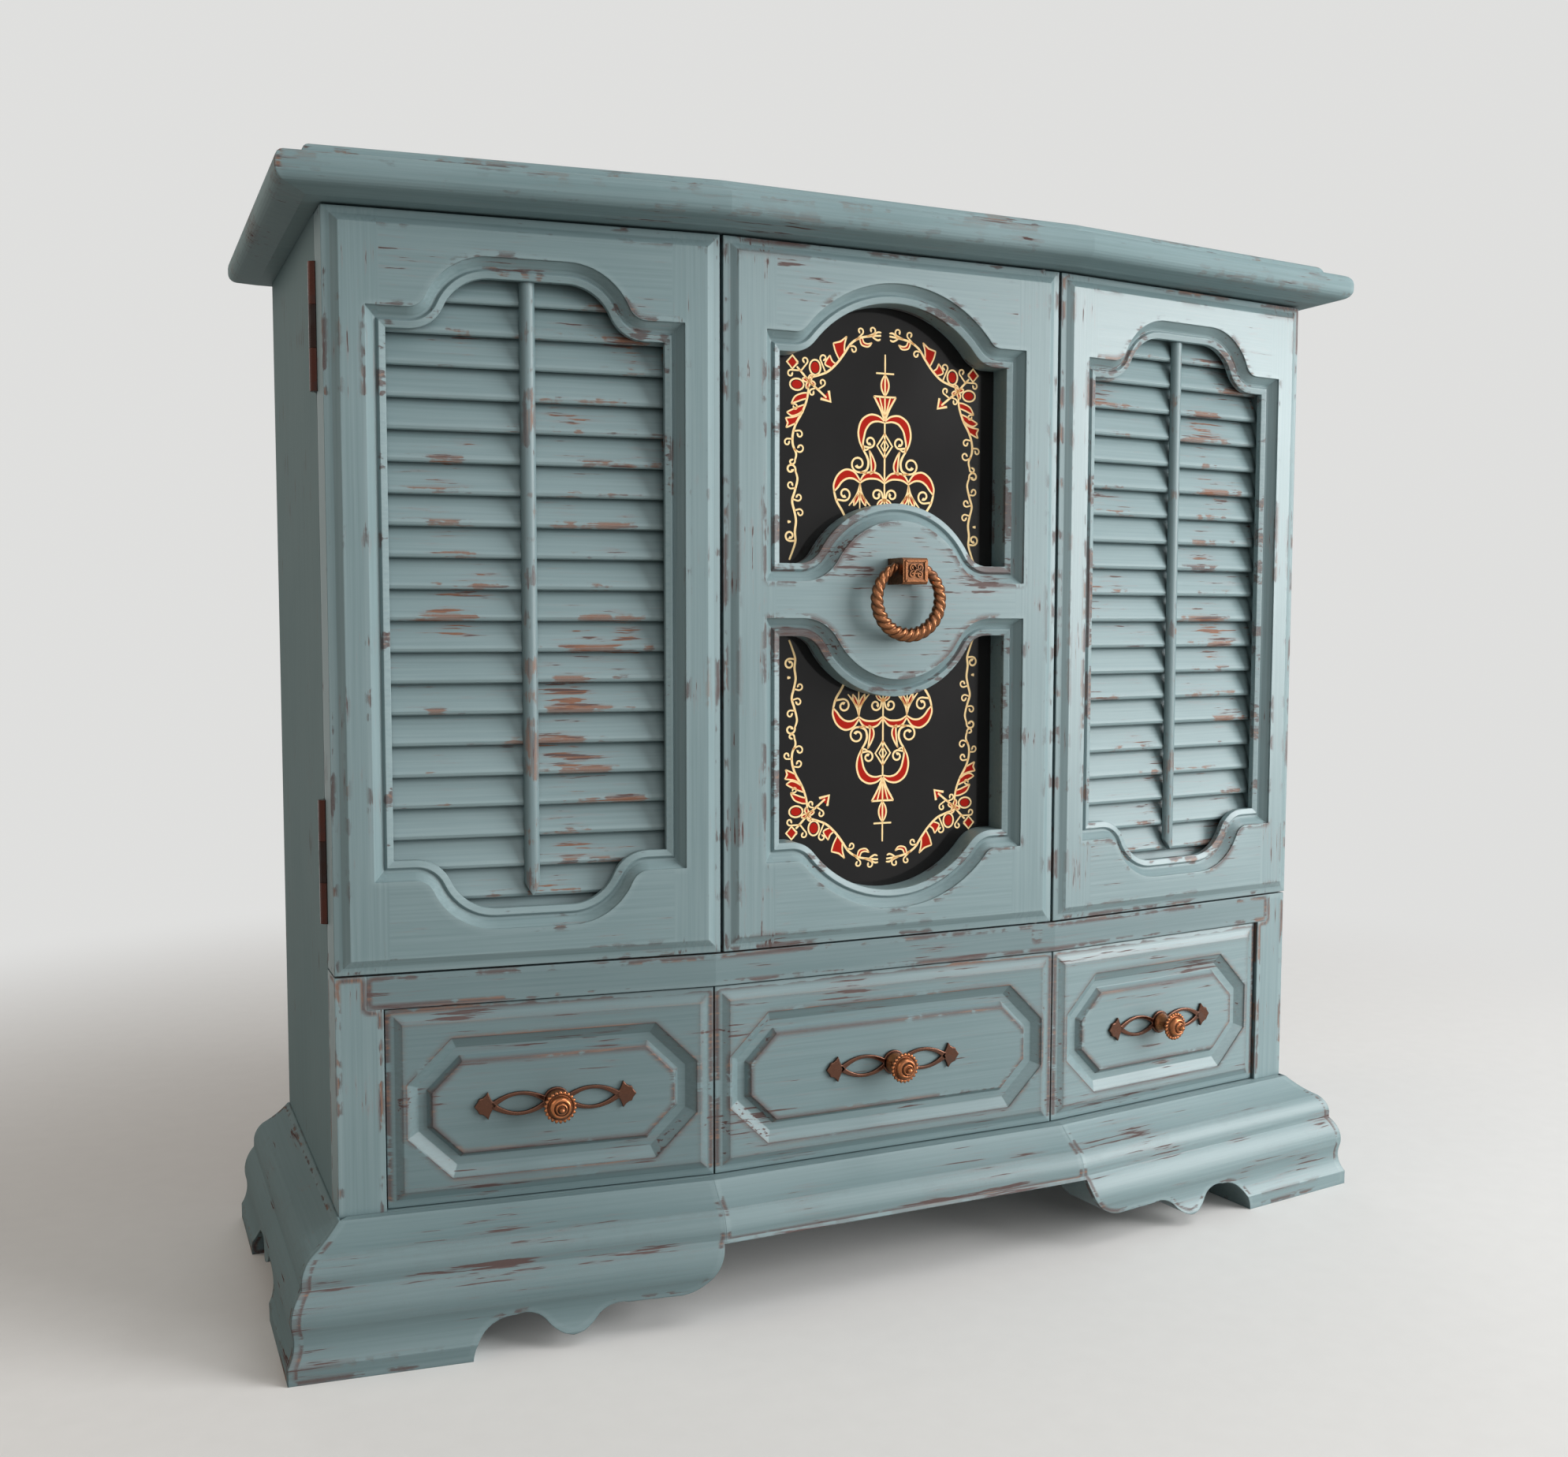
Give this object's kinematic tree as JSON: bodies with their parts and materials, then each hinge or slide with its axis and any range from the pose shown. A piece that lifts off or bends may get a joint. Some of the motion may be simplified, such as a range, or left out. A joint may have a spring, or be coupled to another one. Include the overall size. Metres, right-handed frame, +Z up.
{
  "type": "desktop cabinet with doors",
  "caption": "Painted tabletop cabinet with a canted front: louvred side doors and a glazed centre door over a row of drawers, on a moulded scroll-cut bracket base.",
  "frame": {"origin": "middle of the cabinet's footprint, on the surface it stands on", "axes": "+Z up, the doors face -Y, +X to the right of someone facing the doors"},
  "size_m": [0.3996, 0.1688, 0.356],
  "materials": {
    "paint": "satin duck-egg paint rubbed through to brown at the edges",
    "side_paint": "satin duck-egg paint",
    "inner_wood": "plain sealed wood",
    "dark_brass": "aged, dark in the hollows",
    "steel": "plain",
    "glass": "black gloss with a cream and red scroll pattern behind it",
    "backing": "black painted board"
  },
  "bodies": {
    "cabinet": {"top_slab": "paint", "top_cap": "paint", "left_side": "side_paint", "right_side": "side_paint", "back_panel": "inner_wood", "left_partition": "inner_wood", "right_partition": "inner_wood", "deck": "inner_wood", "floor_board": "inner_wood", "front_rail": "paint", "left_post": "paint", "right_post": "paint", "drawer_dividers": "inner_wood", "drawer_guides": "inner_wood", "base_front_left": "paint", "base_front_centre": "paint", "base_front_right": "paint", "base_side_left": "side_paint", "base_side_right": "side_paint", "foot_blocks": "inner_wood", "centre_shelves": "inner_wood", "left_frame_leaves": "dark_brass", "right_frame_leaves": "dark_brass", "hinge_pins": "dark_brass", "door_magnets": "steel", "pivot_pins": "dark_brass"},
    "left_door": {"left_door_frame": "paint", "left_louvres": "paint", "left_tilt_rod": "paint", "left_door_leaves": "dark_brass", "left_door_strike": "steel"},
    "right_door": {"right_door_frame": "paint", "right_louvres": "paint", "right_tilt_rod": "paint", "right_door_leaves": "dark_brass", "right_door_strike": "steel"},
    "centre_door": {"centre_door_frame": "paint", "centre_glass": "glass", "centre_backing": "backing", "centre_door_strike": "steel", "ring_block": "dark_brass"},
    "ring": {"ring_pull": "dark_brass"},
    "left_drawer": {"left_drawer_front": "paint", "left_drawer_box": "inner_wood", "left_drawer_bottom": "inner_wood", "left_pull_plate": "dark_brass", "left_knob": "dark_brass"},
    "centre_drawer": {"centre_drawer_front": "paint", "centre_drawer_box": "inner_wood", "centre_drawer_bottom": "inner_wood", "centre_pull_plate": "dark_brass", "centre_knob": "dark_brass"},
    "right_drawer": {"right_drawer_front": "paint", "right_drawer_box": "inner_wood", "right_drawer_bottom": "inner_wood", "right_pull_plate": "dark_brass", "right_knob": "dark_brass"}
  },
  "joints": [
    {"name": "left_door_hinge", "type": "hinge", "parent": "cabinet", "child": "left_door", "pos_m": [-0.182, -0.03846, 0.22775], "axis": [0, 0, -1], "range_deg": [0, 170]},
    {"name": "right_door_hinge", "type": "hinge", "parent": "cabinet", "child": "right_door", "pos_m": [0.182, -0.03846, 0.22775], "axis": [0, 0, 1], "range_deg": [0, 170]},
    {"name": "centre_door_pivot", "type": "hinge", "parent": "cabinet", "child": "centre_door", "pos_m": [0.0574, -0.06337, 0.22775], "axis": [0, 0, 1], "range_deg": [0, 90]},
    {"name": "ring_swing", "type": "hinge", "parent": "centre_door", "child": "ring", "pos_m": [0, -0.07437, 0.23855], "axis": [-1, 0, 0], "range_deg": [0, 95]},
    {"name": "left_drawer_slide", "type": "slide", "parent": "cabinet", "child": "left_drawer", "axis": [0, -1, 0], "range_m": [0, 0.085]},
    {"name": "centre_drawer_slide", "type": "slide", "parent": "cabinet", "child": "centre_drawer", "axis": [0, -1, 0], "range_m": [0, 0.085]},
    {"name": "right_drawer_slide", "type": "slide", "parent": "cabinet", "child": "right_drawer", "axis": [0, -1, 0], "range_m": [0, 0.085]}
  ]
}
